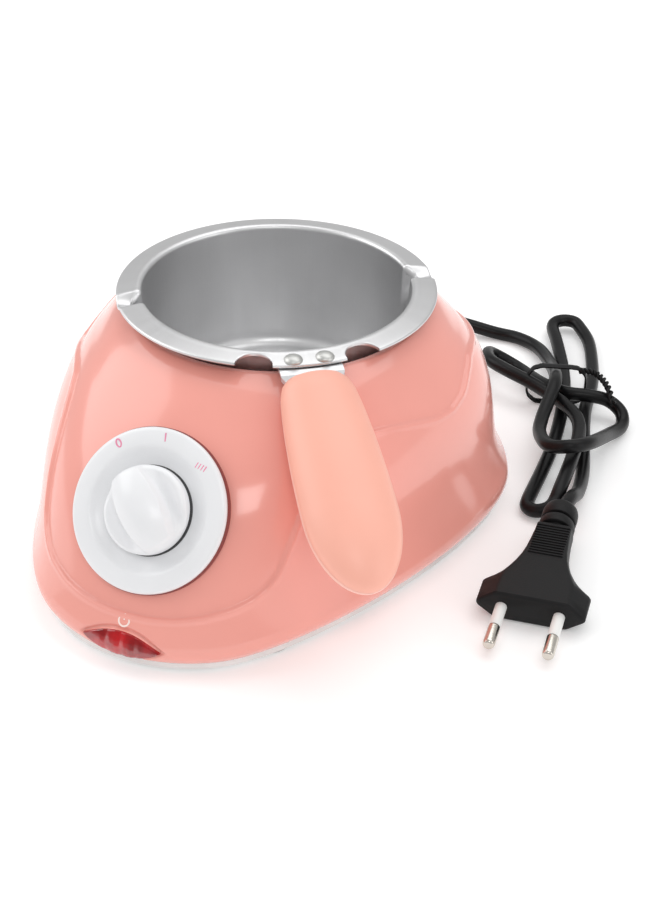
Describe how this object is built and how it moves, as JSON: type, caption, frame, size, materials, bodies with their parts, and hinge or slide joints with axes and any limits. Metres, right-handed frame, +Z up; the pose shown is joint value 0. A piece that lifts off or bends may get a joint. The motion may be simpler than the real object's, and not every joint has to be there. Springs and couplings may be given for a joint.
{
  "type": "wax warmer",
  "caption": "Tapered wax warmer with a sloping control dial, heated well, lift-out pot with pouring lips and grip, indicator lens and a bundled mains cord.",
  "frame": {"origin": "centre of the footprint of the housing and handle on the resting surface, without the free cord", "axes": "+Z up, -Y towards the sloping dial face, +X to the right as seen from the front"},
  "size_m": [0.2017, 0.2697, 0.0804],
  "materials": {
    "pink_shell": "high-gloss moulded plastic, salmon pink",
    "white_plastic": "satin moulded plastic, white",
    "dial_white": "semi-gloss moulded plastic, white",
    "foot_rubber": "matt, light grey",
    "zinc_screw": "zinc plated",
    "well_metal": "bare spun sheet",
    "dark_fibre": "heat-resistant, dark",
    "mica": "mica heater, grey-brown",
    "fuse_ceramic": "ceramic, off-white",
    "switch_black": "moulded, black",
    "terminal_brass": "plain",
    "lens_red": "translucent red, glossy",
    "lamp_glass": "clear with an orange tint",
    "wire_insulation": "soft insulation",
    "cord_black": "satin, black",
    "plug_black": "moulded, fine matt texture",
    "pin_nickel": "nickel-plated brass",
    "sleeve_white": "moulded, white",
    "pot_aluminium": "satin, with radial brushing on the flange",
    "handle_peach": "satin moulded plastic, light peach",
    "handle_pale": "satin moulded plastic, paler peach"
  },
  "bodies": {
    "casing": {"upper_housing": "pink_shell", "base_plate": "white_plastic", "feet": "foot_rubber", "housing_screws": "zinc_screw", "heater_well": "well_metal", "well_ring": "dark_fibre", "well_screws": "zinc_screw", "heating_element": "mica", "heater_clamp": "zinc_screw", "clamp_nut": "zinc_screw", "thermal_fuse": "fuse_ceramic", "rotary_switch": "switch_black", "switch_nut": "zinc_screw", "switch_terminals": "terminal_brass", "dial_bezel": "dial_white", "power_lens": "lens_red", "neon_lamp": "lamp_glass", "lamp_holder": "white_plastic", "terminal_block": "white_plastic", "terminal_screws": "terminal_brass", "wiring": "wire_insulation", "cord_clamp": "white_plastic", "clamp_screws": "zinc_screw", "strain_relief": "cord_black", "mains_cord": "cord_black", "cord_tie": "plug_black", "plug_body": "plug_black", "plug_grips": "plug_black", "plug_collar": "plug_black", "pin_sleeves": "sleeve_white", "plug_pins": "pin_nickel"},
    "knob": {"control_knob": "dial_white", "switch_shaft": "white_plastic"},
    "pot_body": {"pot": "pot_aluminium", "handle_bracket": "well_metal", "handle_rivets": "zinc_screw", "handle_outer_shell": "handle_peach", "handle_inner_shell": "handle_pale", "handle_screw": "zinc_screw"}
  },
  "joints": [
    {"name": "knob_turn", "type": "hinge", "parent": "casing", "child": "knob", "pos_m": [0, -0.0748, 0.0444], "axis": [0, -0.8192, 0.5736], "range_deg": [-84, 0]},
    {"name": "pot_lift", "type": "slide", "parent": "casing", "child": "pot_body", "axis": [0, 0, 1], "range_m": [0, 0.07]}
  ]
}
